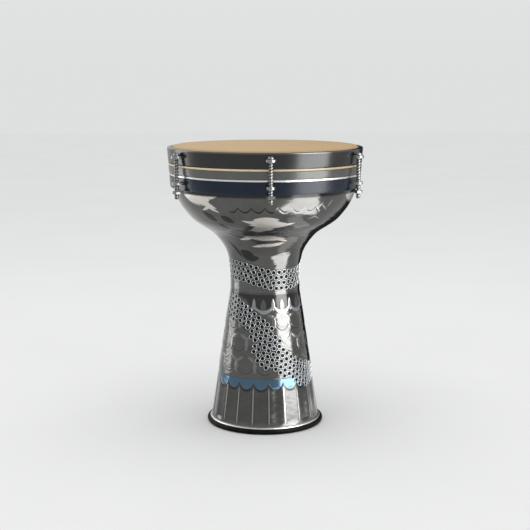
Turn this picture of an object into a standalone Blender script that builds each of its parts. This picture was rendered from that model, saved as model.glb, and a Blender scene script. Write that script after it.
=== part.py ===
"""Darbuka: an engraved metal goblet drum with a screw-tensioned head.

The frame is +Z up with the origin in the middle of the base, in metres. The first of the six
tension screws stands to the front, at -Y.

From the floor up: a rubber foot ring, a conical stem with a beaded edge, a spun bowl whose neck
laps over the stem, a lower ring with six threaded ears, a bright trim ring, a collar, a cream
trim ring, and the head under its tension hoop. The six screws hang from the hoop's ears, run
down through the lower ring's ears, and end in stop nuts.
"""

import math

import bpy

MM = 0.001

# Driving dimensions.
HEAD_Z = 405.0 * MM  # height of the playing surface
HOOP_R = 140.0 * MM  # outer radius of the tension hoop at its top
NECK_R = 50.3 * MM  # outer radius of the neck
FOOT_R = 85.0 * MM  # outer radius of the rubber foot ring
SCREW_COUNT = 6
SCREW_CIRCLE_R = 145.0 * MM  # radius of the circle that the screws stand on
SCREW_R = 3.1 * MM  # outside radius of the thread
HOOP_TRAVEL = 8.0 * MM  # how far the hoop can rise before the stop nuts meet the lower ears

GAP = 0.3 * MM  # left between solids that touch
SEGMENTS = 48  # facets round each large turned piece
SCREW_SEGMENTS = 16  # facets round each screw and each hole for one

# The shell.
WALL = 1.8 * MM
BOWL_R = 132.3 * MM  # outside of the upright wall at the top of the bowl
BEARING_EDGE_R = 3.0 * MM  # how the bowl's top edge curls in under the head
LAP_Z = 197.6 * MM  # where the bowl's lower end meets the stem's shoulder
LAP_LENGTH = 15.0 * MM  # how far the stem reaches up inside the bowl
STEM_FOOT_R = 78.3 * MM  # outside of the stem just above its bead
STEM_FOOT_Z = 9.2 * MM
STEM_BASE_Z = 5.1 * MM
BEAD_R = 1.9 * MM  # radius of the bead at the stem's lower edge
BEAD_CENTRE_R = 78.9 * MM

# The outside of the bowl from its upright wall down to its neck, as (radius, height).
BOWL_CURVE = [
    (132.3 * MM, 350.0 * MM),
    (129.6 * MM, 340.5 * MM),
    (124.2 * MM, 327.0 * MM),
    (116.6 * MM, 314.5 * MM),
    (104.0 * MM, 300.0 * MM),
    (89.7 * MM, 290.0 * MM),
    (75.0 * MM, 280.0 * MM),
    (62.0 * MM, 264.5 * MM),
    (54.6 * MM, 250.0 * MM),
    (51.2 * MM, 232.0 * MM),
    (NECK_R, 214.0 * MM),
]
CURVE_STEPS = 2  # straight pieces between two of those points

# The stack of rings round the top of the bowl: the lowest and highest point of each.
LOWER_RING_Z = (346.6 * MM, 363.6 * MM)
SILVER_TRIM_Z = (363.9 * MM, 366.6 * MM)
COLLAR_Z = (366.9 * MM, 377.8 * MM)
CREAM_TRIM_Z = (378.1 * MM, 380.9 * MM)
HOOP_Z = (381.9 * MM, 403.0 * MM)
HOOP_ROUND = 1.7 * MM  # radius of the hoop's outer top edge
RING_TAPER = 0.075  # how much the stack's outer radius shrinks for each unit of height
RING_BORE_R = BOWL_R + 0.4 * MM

# The head, and the hoop that pulls it down.
FILM = 0.35 * MM
FLESH_HOOP_R = 136.0 * MM
FLESH_HOOP_Z = (389.5 * MM, 398.0 * MM)
HOOP_WALL = 3.5 * MM
HOOP_LIP_R = 133.9 * MM  # inner radius of the hoop's top lip

# The ears: flat tabs with a round end about the screw, welded to their ring.
EAR_THICKNESS = 4.0 * MM
EAR_HOLE_R = SCREW_R + 0.35 * MM
HOOP_EAR_R = 7.2 * MM
HOOP_EAR_Z = 392.9 * MM  # middle of the tab
LOWER_EAR_R = 6.0 * MM
LOWER_EAR_Z = 356.7 * MM

# The screws and their stop nuts.
SCREW_HEAD_R = 4.6 * MM
SCREW_HEAD_RIM = 1.2 * MM  # height of the head's upright rim
SCREW_HEAD_HEIGHT = 4.3 * MM
SLOT_WIDTH = 1.3 * MM
SLOT_DEPTH = 1.7 * MM
SCREW_TIP_Z = 335.2 * MM
SCREW_TIP_CHAMFER = 0.8 * MM
NUT_ACROSS_FLATS = 10.4 * MM
NUT_HEIGHT = 4.0 * MM

# Each material's colour, roughness and metallic value.
MATERIALS = {
    "engraved_metal": ((0.36, 0.36, 0.35), 0.20, 1.0),
    "bright_metal": ((0.62, 0.62, 0.60), 0.22, 1.0),
    "collar_metal": ((0.16, 0.16, 0.15), 0.30, 1.0),
    "charcoal_paint": ((0.033, 0.033, 0.031), 0.30, 0.0),
    "navy_paint": ((0.018, 0.026, 0.038), 0.28, 0.0),
    "cream_trim": ((0.69, 0.55, 0.32), 0.45, 0.0),
    "silver_trim": ((0.60, 0.61, 0.62), 0.22, 1.0),
    "head_film": ((0.58, 0.43, 0.28), 0.55, 0.0),
    "flesh_aluminium": ((0.60, 0.60, 0.60), 0.35, 1.0),
    "foot_rubber": ((0.012, 0.012, 0.012), 0.65, 0.0),
}


def clear_scene():
    for obj in list(bpy.data.objects):
        bpy.data.objects.remove(obj)


def new_collection(name):
    collection = bpy.data.collections.new(name)
    bpy.context.scene.collection.children.link(collection)
    return collection


def make_materials():
    made = {}
    for name, (colour, roughness, metallic) in MATERIALS.items():
        material = bpy.data.materials.new(name)
        material.use_nodes = True
        shader = material.node_tree.nodes["Principled BSDF"]
        shader.inputs["Base Color"].default_value = (*colour, 1.0)
        shader.inputs["Roughness"].default_value = roughness
        shader.inputs["Metallic"].default_value = metallic
        made[name] = material
    return made


def arc(centre, radius, start, end, steps):
    """Points on an arc about a centre, with its angles in degrees from the first axis."""
    points = []
    for i in range(steps + 1):
        angle = math.radians(start + (end - start) * i / steps)
        points.append((centre[0] + radius * math.cos(angle), centre[1] + radius * math.sin(angle)))
    return points


def between(a, b, c, d, t):
    """The Catmull-Rom value a share t of the way from b to c."""
    slope = c - a
    bend = 2 * a - 5 * b + 4 * c - d
    twist = 3 * b - a - 3 * c + d
    return b + 0.5 * (slope * t + bend * t**2 + twist * t**3)


def smooth_through(points, steps):
    """A smooth curve through the points, each stretch in the given number of straight pieces."""
    before = tuple(2 * a - b for a, b in zip(points[0], points[1]))
    after = tuple(2 * a - b for a, b in zip(points[-1], points[-2]))
    knots = [before, *points, after]
    curve = []
    for i in range(1, len(points)):
        for k in range(steps):
            curve.append(tuple(between(*values, k / steps) for values in zip(*knots[i - 1 : i + 3])))
    return [*curve, points[-1]]


def turned(name, outline, material, collection, closed=True, segments=SEGMENTS):
    """Turns an outline of (radius, height) about Z. It runs down its outer side, then back up inside."""
    mesh = bpy.data.meshes.new(name)
    edges = [(i, i + 1) for i in range(len(outline) - 1)]
    if closed:
        edges.append((len(outline) - 1, 0))
    mesh.from_pydata([(r, 0.0, z) for r, z in outline], edges, [])
    mesh.materials.append(material)
    obj = bpy.data.objects.new(name, mesh)
    collection.objects.link(obj)
    turn = obj.modifiers.new("turn", "SCREW")
    turn.axis = "Z"
    turn.angle = math.tau
    turn.steps = segments
    turn.render_steps = segments
    turn.use_merge_vertices = True
    turn.merge_threshold = 1e-6
    turn.use_smooth_shade = True
    return obj


def plate(name, loops, thickness, material, collection):
    """A flat plate centred on z = 0. The first loop is its outline, and the others are holes."""
    curve = bpy.data.curves.new(name, "CURVE")
    curve.dimensions = "2D"
    curve.fill_mode = "BOTH"
    curve.extrude = thickness / 2
    for points in loops:
        spline = curve.splines.new("POLY")
        spline.points.add(len(points) - 1)
        for point, (x, y) in zip(spline.points, points):
            point.co = (x, y, 0.0, 1.0)
        spline.use_cyclic_u = True
    curve.materials.append(material)
    obj = bpy.data.objects.new(name, curve)
    collection.objects.link(obj)
    return obj


def screw_angles():
    """The direction of each screw from the drum's axis."""
    return [-math.pi / 2 + math.tau * i / SCREW_COUNT for i in range(SCREW_COUNT)]


def place_on_circle(obj, angle, z):
    """Stands a piece on the screw circle with its +X pointing away from the drum."""
    obj.location = (SCREW_CIRCLE_R * math.cos(angle), SCREW_CIRCLE_R * math.sin(angle), z)
    obj.rotation_euler = (0.0, 0.0, angle)


def stack_radius(z):
    """Outer radius of the tapered stack of rings at a height."""
    return HOOP_R - RING_TAPER * (HOOP_Z[1] - HOOP_ROUND - z)


def stem_radius(z):
    """Outer radius of the stem's cone at a height."""
    share = (z - STEM_FOOT_Z) / (LAP_Z - STEM_FOOT_Z)
    return STEM_FOOT_R + (NECK_R - STEM_FOOT_R) * share


def bearing_edge(extra, steps):
    """The quarter circle over the bowl's top edge, a distance out from the bowl's own surface."""
    top = HEAD_Z - FILM - GAP
    centre = (BOWL_R - BEARING_EDGE_R, top - BEARING_EDGE_R)
    return arc(centre, BEARING_EDGE_R + extra, 90.0, 0.0, steps)


def make_bowl(materials, collection):
    """One spun skin: a curled bearing edge, an upright wall, the bowl's curve and the neck."""
    curve = smooth_through(BOWL_CURVE, CURVE_STEPS)
    outline = [*bearing_edge(0.0, 4), *curve, (NECK_R, LAP_Z + GAP)]
    bowl = turned("bowl", outline, materials["engraved_metal"], collection, closed=False)
    skin = bowl.modifiers.new("wall", "SOLIDIFY")
    skin.thickness = WALL
    skin.offset = -1.0
    skin.use_even_offset = True


def make_stem(materials, collection):
    """The cone, with a spigot that laps inside the bowl's neck and a bead round its lower edge."""
    spigot_r = NECK_R - WALL - GAP
    spigot_top = LAP_Z + LAP_LENGTH
    spigot_bore_r = spigot_r - WALL
    bead_z = STEM_BASE_Z + BEAD_R
    shoulder_z = LAP_Z - 12.0 * MM
    outline = [
        (spigot_r, spigot_top),
        (spigot_r, LAP_Z),
        (NECK_R, LAP_Z),
        (STEM_FOOT_R, STEM_FOOT_Z),
        *arc((BEAD_CENTRE_R, bead_z), BEAD_R, 60.0, -90.0, 5),
        (STEM_FOOT_R - WALL, STEM_BASE_Z),
        (stem_radius(shoulder_z) - WALL, shoulder_z),
        (spigot_bore_r, LAP_Z - 3.0 * MM),
        (spigot_bore_r, spigot_top),
    ]
    turned("stem", outline, materials["engraved_metal"], collection)


def make_foot_ring(materials, collection):
    """A rubber channel pushed over the stem's lower edge, flat underneath."""
    nose = 3.6 * MM
    groove_in = STEM_FOOT_R - WALL - 0.6 * MM
    groove_out = BEAD_CENTRE_R + BEAD_R + 0.4 * MM
    groove_z = STEM_BASE_Z - GAP
    inside = groove_in - 1.7 * MM
    outline = [
        *arc((FOOT_R - nose, nose), nose, 80.0, -90.0, 6),
        (inside + 1.0 * MM, 0.0),
        (inside, 1.0 * MM),
        (inside, groove_z + 1.6 * MM),
        (groove_in, groove_z + 1.6 * MM),
        (groove_in, groove_z),
        (groove_out, groove_z),
        (groove_out, groove_z + 1.4 * MM),
    ]
    turned("foot_ring", outline, materials["foot_rubber"], collection)


def make_band(name, span, material, collection):
    """A plain ring of the stack, tapered on its outer face, with eased edges."""
    low, high = span
    ease = min(0.5 * MM, (high - low) * 0.2)
    outline = [
        (stack_radius(high) - ease, high),
        (stack_radius(high), high - ease),
        (stack_radius(low), low + ease),
        (stack_radius(low) - ease, low),
        (RING_BORE_R, low),
        (RING_BORE_R, high),
    ]
    turned(name, outline, material, collection)


def make_head(materials, collection):
    """The film, drawn down over the bearing edge, and the flesh hoop that grips its edge."""
    side_r = BOWL_R + GAP + FILM
    low, high = FLESH_HOOP_Z
    outline = [
        (0.0, HEAD_Z),
        *bearing_edge(GAP + FILM, 4),
        (side_r, low),
        (side_r - FILM, low),
        *reversed(bearing_edge(GAP, 4)),
        (0.0, HEAD_Z - FILM),
    ]
    turned("drumhead", outline, materials["head_film"], collection, closed=False)
    bore = side_r + GAP
    outline = [(FLESH_HOOP_R, high), (FLESH_HOOP_R, low), (bore, low), (bore, high)]
    turned("flesh_hoop", outline, materials["flesh_aluminium"], collection)


def make_hoop(materials, collection):
    """The tension hoop: a tapered side, and a lip that reaches in over the flesh hoop."""
    low, high = HOOP_Z
    under_lip = FLESH_HOOP_Z[1] + GAP
    bore = HOOP_R - HOOP_WALL
    ease = 0.6 * MM
    outline = [
        *arc((HOOP_R - HOOP_ROUND, high - HOOP_ROUND), HOOP_ROUND, 90.0, 0.0, 3),
        (stack_radius(low), low + ease),
        (stack_radius(low) - ease, low),
        (bore, low),
        (bore, under_lip),
        (HOOP_LIP_R, under_lip),
        (HOOP_LIP_R, high - ease),
        (HOOP_LIP_R + ease, high),
    ]
    turned("tension_hoop", outline, materials["charcoal_paint"], collection)


def hole_for_screw(radius):
    return arc((0.0, 0.0), radius, 0.0, 360.0 - 360.0 / SCREW_SEGMENTS, SCREW_SEGMENTS - 1)


def make_ear(name, end_r, z, material, collection):
    """A tab about the screw's axis. Its inner end follows the ring that it is welded to."""
    ring_r = stack_radius(z + EAR_THICKNESS / 2) + GAP
    root = ring_r - SCREW_CIRCLE_R
    corner = root - end_r * math.tan(math.pi / SEGMENTS)
    outline = [(root, 0.0), (corner, -end_r), *arc((0.0, 0.0), end_r, -90.0, 90.0, 10), (corner, end_r)]
    return plate(name, [outline, hole_for_screw(EAR_HOLE_R)], EAR_THICKNESS, material, collection)


def screw_seat_z():
    """Height of the underside of the screws' heads."""
    return HOOP_EAR_Z + EAR_THICKNESS / 2 + GAP


def nut_middle_z():
    """The stop nuts meet the lower ears when the hoop has risen by its whole travel."""
    return LOWER_EAR_Z - EAR_THICKNESS / 2 - GAP - HOOP_TRAVEL - NUT_HEIGHT / 2


def cut_driver_slot(screw, cutters):
    bpy.ops.mesh.primitive_cube_add(size=1.0, scale=(4 * SCREW_HEAD_R, SLOT_WIDTH, 2 * SLOT_DEPTH))
    cutter = bpy.context.object
    cutter.name = f"{screw.name}_slot"
    cutter.location = (0.0, 0.0, SCREW_HEAD_HEIGHT)
    cutter.parent = screw
    cutter.hide_render = True
    cutter.display_type = "WIRE"
    for collection in cutter.users_collection:
        collection.objects.unlink(cutter)
    cutters.objects.link(cutter)
    cut = screw.modifiers.new("driver_slot", "BOOLEAN")
    cut.operation = "DIFFERENCE"
    cut.solver = "EXACT"
    cut.object = cutter


def make_screw(name, materials, collection, cutters):
    """A tension screw about its own axis, with z = 0 under its head. Its shank is the thread's outside."""
    tip = SCREW_TIP_Z - screw_seat_z()
    dome = SCREW_HEAD_HEIGHT - SCREW_HEAD_RIM
    ball_r = (SCREW_HEAD_R**2 + dome**2) / (2 * dome)
    rim_angle = math.degrees(math.acos(SCREW_HEAD_R / ball_r))
    outline = [
        (0.0, SCREW_HEAD_HEIGHT),
        *arc((0.0, SCREW_HEAD_HEIGHT - ball_r), ball_r, 90.0, rim_angle, 4)[1:],
        (SCREW_HEAD_R, 0.0),
        (SCREW_R, 0.0),
        (SCREW_R, tip + SCREW_TIP_CHAMFER),
        (SCREW_R - SCREW_TIP_CHAMFER, tip),
        (0.0, tip),
    ]
    metal = materials["bright_metal"]
    screw = turned(name, outline, metal, collection, closed=False, segments=SCREW_SEGMENTS)
    cut_driver_slot(screw, cutters)
    return screw


def make_nut(name, material, collection):
    """A hexagonal stop nut about its own axis."""
    corner_r = NUT_ACROSS_FLATS / 2 / math.cos(math.pi / 6)
    hexagon = arc((0.0, 0.0), corner_r, 0.0, 300.0, 5)
    return plate(name, [hexagon, hole_for_screw(SCREW_R + GAP)], NUT_HEIGHT, material, collection)


def make_tension_sets(materials, collection, cutters):
    """At each screw: the hoop's ear, the screw, the lower ring's ear and the stop nut."""
    metal = materials["bright_metal"]
    for i, angle in enumerate(screw_angles(), start=1):
        hoop_ear = make_ear(f"hoop_ear_{i}", HOOP_EAR_R, HOOP_EAR_Z, metal, collection)
        place_on_circle(hoop_ear, angle, HOOP_EAR_Z)
        screw = make_screw(f"tension_screw_{i}", materials, collection, cutters)
        place_on_circle(screw, angle, screw_seat_z())
        lower_ear = make_ear(f"lower_ear_{i}", LOWER_EAR_R, LOWER_EAR_Z, metal, collection)
        place_on_circle(lower_ear, angle, LOWER_EAR_Z)
        nut = make_nut(f"stop_nut_{i}", metal, collection)
        place_on_circle(nut, angle, nut_middle_z())


def main():
    clear_scene()
    collection = new_collection("darbuka")
    cutters = new_collection("cutters")
    materials = make_materials()
    make_foot_ring(materials, collection)
    make_stem(materials, collection)
    make_bowl(materials, collection)
    make_band("lower_ring", LOWER_RING_Z, materials["navy_paint"], collection)
    make_band("silver_trim_ring", SILVER_TRIM_Z, materials["silver_trim"], collection)
    make_band("collar", COLLAR_Z, materials["collar_metal"], collection)
    make_band("cream_trim_ring", CREAM_TRIM_Z, materials["cream_trim"], collection)
    make_head(materials, collection)
    make_hoop(materials, collection)
    make_tension_sets(materials, collection, cutters)


main()
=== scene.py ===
"""Looks of the darbuka: an engraved and punched metal goblet drum under soft studio light.

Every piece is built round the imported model's own sizes and rides on its bodies. Angles round the
drum are counted from the side that faces the camera, to the viewer's right.
"""

import math
import random

import bmesh
import bpy
import numpy as np
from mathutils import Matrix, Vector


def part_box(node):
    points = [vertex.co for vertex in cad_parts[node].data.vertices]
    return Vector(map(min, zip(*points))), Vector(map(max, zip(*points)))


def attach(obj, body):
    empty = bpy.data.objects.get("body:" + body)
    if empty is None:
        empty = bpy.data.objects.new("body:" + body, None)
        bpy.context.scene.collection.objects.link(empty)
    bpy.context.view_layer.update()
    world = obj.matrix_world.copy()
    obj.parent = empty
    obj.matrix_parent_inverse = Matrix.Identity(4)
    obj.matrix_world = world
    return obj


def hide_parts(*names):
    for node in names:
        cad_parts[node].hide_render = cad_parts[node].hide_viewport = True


MM = 0.001
DEGREE = math.pi / 180

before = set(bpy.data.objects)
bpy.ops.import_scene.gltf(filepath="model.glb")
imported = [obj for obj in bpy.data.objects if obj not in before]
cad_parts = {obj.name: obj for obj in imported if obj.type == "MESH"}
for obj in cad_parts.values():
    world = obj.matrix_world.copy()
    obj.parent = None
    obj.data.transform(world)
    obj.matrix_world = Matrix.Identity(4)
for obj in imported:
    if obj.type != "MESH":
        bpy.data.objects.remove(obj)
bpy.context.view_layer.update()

# The camera, as fitted to the drum's outline.
CAMERA_DISTANCE = 1.711  # from the drum's axis
CAMERA_HEIGHT = 0.512
CAMERA_PITCH = 9.34 * DEGREE  # downwards
CAMERA_SWING = 3.0 * DEGREE  # to the left of the drum's own front
CAMERA_LENS = 80.9
FACING = -math.pi / 2 - CAMERA_SWING  # the direction from the axis to the camera

# How finely the pieces are divided.
SEGMENTS = 192  # round each plain turned piece
COLUMNS = 720  # round each engraved piece
ROW = 0.7 * MM  # height of an engraved piece's faces
PUNCH_SIDES = 20
SCREW_HEAD_SEGMENTS = 40
THREAD_COLUMNS = 32
THREAD_ROW = 0.25 * MM

# The shell, as the frame has it.
GAP = 0.3 * MM  # left between solids that touch
WALL = 1.8 * MM
BEARING_EDGE_R = 3.0 * MM  # how the bowl's top edge curls in under the head
NECK_R = 50.3 * MM
LAP_Z = 197.6 * MM  # where the bowl's lower end meets the stem's shoulder
STEM_FOOT_R = 78.3 * MM  # outside of the stem just above its bead
STEM_FOOT_Z = 9.2 * MM
STEM_BASE_Z = 5.1 * MM
BEAD_R = 1.9 * MM
BEAD_CENTRE_R = 78.9 * MM

# The rings, the head and the fasteners, as the frame has them.
RING_TAPER = 0.075  # how much the stack of rings narrows for each unit of height
RING_PLAY = 0.4 * MM  # between the rings and the bowl
HOOP_ROUND = 1.7 * MM  # radius of the hoop's outer top edge
HOOP_WALL = 3.5 * MM
FILM = 0.35 * MM
SCREW_COUNT = 6
SCREW_R = 3.1 * MM
SCREW_HEAD_RIM = 1.2 * MM  # height of the head's upright rim
THREAD_LEAD = 4.0 * MM
HOOP_EAR_R = 7.2 * MM
LOWER_EAR_R = 6.0 * MM


def span(node):
    """Lowest and highest point of a CAD node."""
    low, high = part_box(node)
    return low[2], high[2]


def reach(node):
    """Outer radius of a turned CAD node."""
    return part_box(node)[1][0]


HEAD_Z = span("drumhead")[1]
HOOP_R = reach("tension_hoop")
HOOP_TOP_Z = span("tension_hoop")[1]
BOWL_R = reach("bowl")


# ---------------- materials


def new_material(name, metallic=0.0, specular=0.5):
    material = bpy.data.materials.new(name)
    material.use_nodes = True
    shader = material.node_tree.nodes["Principled BSDF"]
    shader.inputs["Metallic"].default_value = metallic
    shader.inputs["Specular IOR Level"].default_value = specular
    return material, material.node_tree, shader


def noise(tree, scale, detail=3.0, stretch=(1.0, 1.0, 1.0)):
    """Noise in the object's own coordinates. It is finer along an axis that is stretched."""
    place = tree.nodes.new("ShaderNodeTexCoord")
    mapping = tree.nodes.new("ShaderNodeMapping")
    mapping.inputs["Scale"].default_value = stretch
    tree.links.new(place.outputs["Object"], mapping.inputs["Vector"])
    texture = tree.nodes.new("ShaderNodeTexNoise")
    texture.inputs["Scale"].default_value = scale
    texture.inputs["Detail"].default_value = detail
    texture.inputs["Roughness"].default_value = 0.55
    tree.links.new(mapping.outputs["Vector"], texture.inputs["Vector"])
    return texture.outputs["Fac"]


def upwards(tree, coordinates):
    """The Z of one kind of texture coordinates."""
    place = tree.nodes.new("ShaderNodeTexCoord")
    parts = tree.nodes.new("ShaderNodeSeparateXYZ")
    tree.links.new(place.outputs[coordinates], parts.inputs["Vector"])
    return parts.outputs["Z"]


def spread(tree, value, low, high, start=0.3, end=0.7):
    """Maps a value's range from start to end onto low to high."""
    remap = tree.nodes.new("ShaderNodeMapRange")
    limits = {"From Min": start, "From Max": end, "To Min": low, "To Max": high}
    for socket, limit in limits.items():
        remap.inputs[socket].default_value = limit
    tree.links.new(value, remap.inputs["Value"])
    return remap.outputs["Result"]


def blend_colours(tree, amount, first, second):
    """Mixes two colours, each a tuple or a socket, by a socket."""
    mix = tree.nodes.new("ShaderNodeMix")
    mix.data_type = "RGBA"
    tree.links.new(amount, mix.inputs["Factor"])
    for socket, colour in ((mix.inputs[6], first), (mix.inputs[7], second)):
        if isinstance(colour, tuple):
            socket.default_value = (*colour, 1.0)
        else:
            tree.links.new(colour, socket)
    return mix.outputs[2]


def mottling(tree, scale, detail=3.0, start=0.3, end=0.7, stretch=(1.0, 1.0, 1.0)):
    """Noise whose range from start to end is spread over 0 to 1."""
    return spread(tree, noise(tree, scale, detail=detail, stretch=stretch), 0.0, 1.0, start, end)


def scaled_sum(tree, value, factor, added):
    """A socket times a number, plus another socket."""
    node = tree.nodes.new("ShaderNodeMath")
    node.operation = "MULTIPLY_ADD"
    node.inputs[1].default_value = factor
    tree.links.new(value, node.inputs[0])
    tree.links.new(added, node.inputs[2])
    return node.outputs[0]


def mesh_finish_and_painted_light(tree):
    """The mesh's layer of finish and painted light: Red is how black it is, painted shade included, Green
    how bright, painted highlights and reflections included, and Blue how blue.
    """
    finish_and_painted_light = tree.nodes.new("ShaderNodeAttribute")
    finish_and_painted_light.attribute_name = "finish_and_painted_light"
    parts = tree.nodes.new("ShaderNodeSeparateColor")
    tree.links.new(finish_and_painted_light.outputs["Color"], parts.inputs["Color"])
    return parts.outputs


def dress(tree, shader, colour, roughness):
    """Feeds a material's colour and roughness."""
    tree.links.new(colour, shader.inputs["Base Color"])
    tree.links.new(roughness, shader.inputs["Roughness"])


def add_bump(tree, shader, height, strength, distance):
    bump = tree.nodes.new("ShaderNodeBump")
    bump.inputs["Strength"].default_value = strength
    bump.inputs["Distance"].default_value = distance
    tree.links.new(height, bump.inputs["Height"])
    tree.links.new(bump.outputs["Normal"], shader.inputs["Normal"])


def engraved_metal():
    """Dark polished nickel. The mesh says where it is blackened, bright or blued, painted shade and painted
    reflections among them.
    """
    material, tree, shader = new_material("engraved_nickel", metallic=1.0)
    colour = blend_colours(tree, mottling(tree, 60.0), (0.098, 0.098, 0.095), (0.120, 0.120, 0.116))
    finish_and_painted_light = mesh_finish_and_painted_light(tree)
    # black: the engraving's blackened lines, and painted shade under the lower ring, round the punched
    # marks and in the foot's panels
    colour = blend_colours(tree, finish_and_painted_light["Red"], colour, (0.020, 0.020, 0.020))
    # bright: polished work, and painted reflections and highlights on the bowl's leaves, its wave line and
    # the foot's ridges
    colour = blend_colours(tree, finish_and_painted_light["Green"], colour, (0.60, 0.57, 0.53))
    colour = blend_colours(tree, finish_and_painted_light["Blue"], colour, (0.075, 0.130, 0.185))
    smears = spread(tree, noise(tree, 25.0, detail=5.0), 0.08, 0.18)
    dress(tree, shader, colour, scaled_sum(tree, finish_and_painted_light["Green"], 0.22, smears))
    scratches = noise(tree, 90.0, detail=4.0, stretch=(1.0, 1.0, 9.0))
    add_bump(tree, shader, scratches, 0.10, 0.6 * MM)
    return material


def thread_metal():
    """Zinc-bright steel with painted shade in the thread's root, which the mesh marks."""
    material, tree, shader = new_material("thread_steel", metallic=1.0)
    steel = blend_colours(tree, noise(tree, 140.0), (0.17, 0.17, 0.165), (0.26, 0.26, 0.25))
    # painted shade in the thread's root
    colour = blend_colours(tree, mesh_finish_and_painted_light(tree)["Red"], steel, (0.070, 0.070, 0.068))
    dress(tree, shader, colour, spread(tree, noise(tree, 60.0), 0.24, 0.40))
    return material


def bright_metal(name, colour, roughness, grain):
    """Plated or polished metal with fine handling marks."""
    material, tree, shader = new_material(name, metallic=1.0)
    worn = tuple(0.72 * part for part in colour)
    blend = blend_colours(tree, noise(tree, 140.0), worn, colour)
    dress(tree, shader, blend, spread(tree, noise(tree, 60.0), roughness * 0.7, roughness * 1.4))
    add_bump(tree, shader, noise(tree, grain, stretch=(1.0, 1.0, 6.0)), 0.12, 0.3 * MM)
    return material


def enamel(tree, shader, colour):
    """The slightly uneven gloss of stoved enamel."""
    dress(tree, shader, colour, spread(tree, noise(tree, 18.0), 0.16, 0.30))
    add_bump(tree, shader, noise(tree, 300.0, detail=2.0), 0.06, 0.3 * MM)


def gloss_paint(name, colour, patches, shine):
    """Enamel whose colour drifts a little to that of its patches."""
    material, tree, shader = new_material(name, specular=shine)
    enamel(tree, shader, blend_colours(tree, mottling(tree, 35.0, detail=4.0), colour, patches))
    return material


def hoop_paint():
    """The hoop's charcoal enamel, worn through to bright metal over its rounded top edge."""
    material, tree, shader = new_material("hoop_charcoal", specular=0.43)
    wobble = scaled_sum(tree, noise(tree, 80.0), 0.6 * MM, upwards(tree, "Object"))
    bare = spread(tree, wobble, 0.0, 1.0, HOOP_TOP_Z - 1.9 * MM, HOOP_TOP_Z - 1.5 * MM)
    patches = mottling(tree, 35.0, detail=4.0)
    paint = blend_colours(tree, patches, (0.006, 0.006, 0.006), (0.012, 0.012, 0.011))
    enamel(tree, shader, blend_colours(tree, bare, paint, (0.10, 0.10, 0.10)))
    tree.links.new(bare, shader.inputs["Metallic"])
    return material


def head_film():
    """Tan film with the faint fibres and mottling of skin."""
    material, tree, shader = new_material("head_tan", specular=0.35)
    clouds = mottling(tree, 14.0, detail=6.0)
    colour = blend_colours(tree, clouds, (0.43, 0.285, 0.137), (0.475, 0.32, 0.158))
    fibres = mottling(tree, 120.0, detail=5.0, start=0.45, end=0.75, stretch=(1.0, 7.0, 1.0))
    colour = blend_colours(tree, fibres, colour, (0.49, 0.345, 0.18))
    dress(tree, shader, colour, spread(tree, clouds, 0.50, 0.64, 0.0, 1.0))
    add_bump(tree, shader, noise(tree, 600.0), 0.15, 0.2 * MM)
    return material


def cream_enamel():
    """The thin cream ring's paint, without the gloss of the bands."""
    material, tree, shader = new_material("cream_trim")
    colour = blend_colours(tree, mottling(tree, 90.0, detail=4.0), (0.66, 0.52, 0.31), (0.72, 0.58, 0.36))
    dress(tree, shader, colour, spread(tree, noise(tree, 40.0), 0.28, 0.45))
    return material


def foot_rubber():
    """Black rubber with a little dust."""
    material, tree, shader = new_material("foot_black_rubber", specular=0.08)
    dust = mottling(tree, 70.0, detail=5.0, start=0.45, end=0.8)
    colour = blend_colours(tree, dust, (0.003, 0.003, 0.003), (0.010, 0.009, 0.009))
    dress(tree, shader, colour, spread(tree, noise(tree, 30.0), 0.42, 0.60))
    add_bump(tree, shader, noise(tree, 900.0, detail=2.0), 0.20, 0.3 * MM)
    return material


def pit_painted_shade():
    """Painted shade: the dead black discs that stand for the shade inside the punched marks."""
    material, tree, shader = new_material("punch_pit_shade", specular=0.06)
    colour = blend_colours(tree, noise(tree, 200.0), (0.003, 0.003, 0.003), (0.010, 0.010, 0.010))
    dress(tree, shader, colour, spread(tree, noise(tree, 150.0), 0.35, 0.6))
    return material


# ---------------- meshes


def arc(centre, radius, start, end, steps):
    """Points on an arc, with its angles in degrees from outwards."""
    angles = np.radians(np.linspace(start, end, steps + 1))
    return [(centre[0] + radius * math.cos(a), centre[1] + radius * math.sin(a)) for a in angles]


def polar(r, angle, z):
    return (r * math.cos(angle), r * math.sin(angle), z)


def new_object(name, data):
    obj = bpy.data.objects.new(name, data)
    bpy.context.scene.collection.objects.link(obj)
    return obj


def finish_mesh(obj, material, sharp):
    """Gives the mesh its one material, and smooth shading but for edges over a sharp angle."""
    obj.data.materials.append(material)
    obj.data.shade_smooth()
    obj.data.set_sharp_from_angle(angle=sharp * DEGREE)
    return obj


def add_mesh(name, points, faces, material, sharp=40.0):
    mesh = bpy.data.meshes.new(name)
    mesh.from_pydata(points, [], faces)
    mesh.update()
    return finish_mesh(new_object(name, mesh), material, sharp)


def wrapped_quads(rows, columns, closed):
    """Faces of a grid that is joined round its columns, and from its last row to its first if closed."""
    first = np.arange(rows if closed else rows - 1)[:, None] * columns
    second = (first + columns) % (rows * columns)
    here = np.arange(columns)[None, :]
    there = (here + 1) % columns
    faces = np.stack([first + here, second + here, second + there, first + there], axis=-1)
    return faces.reshape(-1, 4).tolist()


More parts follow.
